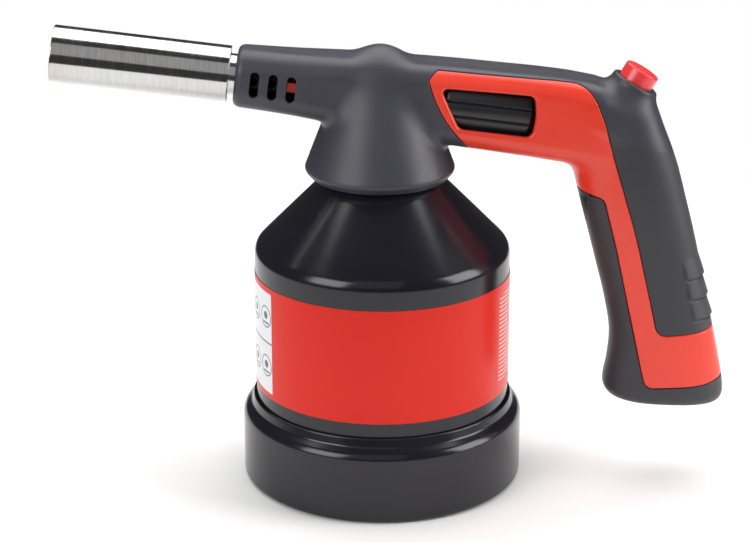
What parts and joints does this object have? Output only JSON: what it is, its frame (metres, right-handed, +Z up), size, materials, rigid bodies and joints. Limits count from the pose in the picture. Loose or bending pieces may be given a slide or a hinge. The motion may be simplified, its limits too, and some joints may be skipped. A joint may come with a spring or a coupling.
{
  "type": "cartridge soldering torch",
  "caption": "Hand gas torch: steel cartridge holder with base cup, tilted stainless burner tube, pistol handle, flow knob and spark button.",
  "frame": {"origin": "centre of the flat underside of the base cup, on the axis of the cartridge holder", "axes": "+Z up along the holder's axis, +X towards the handle, -X towards the burner mouth, Y across the casing's split plane"},
  "size_m": [0.2519, 0.1062, 0.1751],
  "materials": {
    "black_paint": "satin black stoving enamel",
    "zinc": "bright zinc plate",
    "label_red": "printed film, red",
    "cartridge_paint": "gloss enamel",
    "black_plastic": "fine spark-eroded texture",
    "red_plastic": "satin moulded",
    "soft_grip": "soft-touch overmoulding",
    "knob_plastic": "satin moulded",
    "button_red": "gloss moulded",
    "brass": "turned",
    "chrome_steel": "polished plate",
    "stainless": "brushed along its length",
    "spring_steel": "drawn",
    "seal_rubber": "moulded",
    "lead_rubber": "silicone insulation",
    "white_ceramic": "glazed",
    "grey_plastic": "moulded"
  },
  "bodies": {
    "holder": {"holder_shell": "black_paint", "neck_ring": "zinc", "holder_label": "label_red", "bayonet_pins": "zinc", "gas_cartridge": "cartridge_paint"},
    "base": {"base_cup": "black_paint", "bayonet_track": "black_plastic", "pressure_plate": "zinc", "base_spring": "spring_steel"},
    "washer": {"thrust_washer": "zinc"},
    "head": {"casing_left": "black_plastic", "casing_right": "black_plastic", "side_trim_left": "red_plastic", "side_trim_right": "red_plastic", "rear_grip": "soft_grip", "front_grip": "soft_grip", "head_collar": "brass", "valve_block": "brass", "piercing_needle": "spring_steel", "cartridge_seal": "seal_rubber", "packing_nut": "brass", "jet_carrier": "brass", "gas_jet": "brass", "mixing_tube": "chrome_steel", "tube_locator": "red_plastic", "burner_tube": "stainless", "tube_plug": "chrome_steel", "flame_holder": "brass", "spark_electrode": "spring_steel", "electrode_insulator": "white_ceramic", "ignition_lead": "lead_rubber", "piezo_igniter": "grey_plastic", "case_screws": "zinc"},
    "knob": {"regulator_knob": "knob_plastic"},
    "spindle": {"valve_spindle": "spring_steel"},
    "button": {"ignition_button": "button_red"}
  },
  "joints": [
    {"name": "base_turn", "type": "hinge", "parent": "holder", "child": "base", "pos_m": [0, 0, 0], "axis": [0, 0, 1], "range_deg": [0, 50]},
    {"name": "head_lift", "type": "slide", "parent": "holder", "child": "washer", "axis": [0, 0, 1], "range_m": [0, 0.006]},
    {"name": "head_screw", "type": "hinge", "parent": "washer", "child": "head", "pos_m": [0, 0, 0.12], "axis": [0, 0, 1], "range_deg": [0, 1080]},
    {"name": "knob_turn", "type": "hinge", "parent": "head", "child": "knob", "pos_m": [0, 0, 0.15], "axis": [0.9925, 0, -0.1219], "range_deg": [0, 450]},
    {"name": "spindle_travel", "type": "slide", "parent": "knob", "child": "spindle", "axis": [0.9925, 0, -0.1219], "range_m": [0, 0.00095]},
    {"name": "button_press", "type": "slide", "parent": "head", "child": "button", "axis": [-0.503, 0, -0.8643], "range_m": [0, 0.004], "stiffness_N_per_m": 1500, "springref_m": -0.001}
  ],
  "couplings": [
    {"joint": "head_lift", "follows": "head_screw", "m_per_rad": 0.00031831},
    {"joint": "spindle_travel", "follows": "knob_turn", "m_per_rad": 0.00011937}
  ]
}
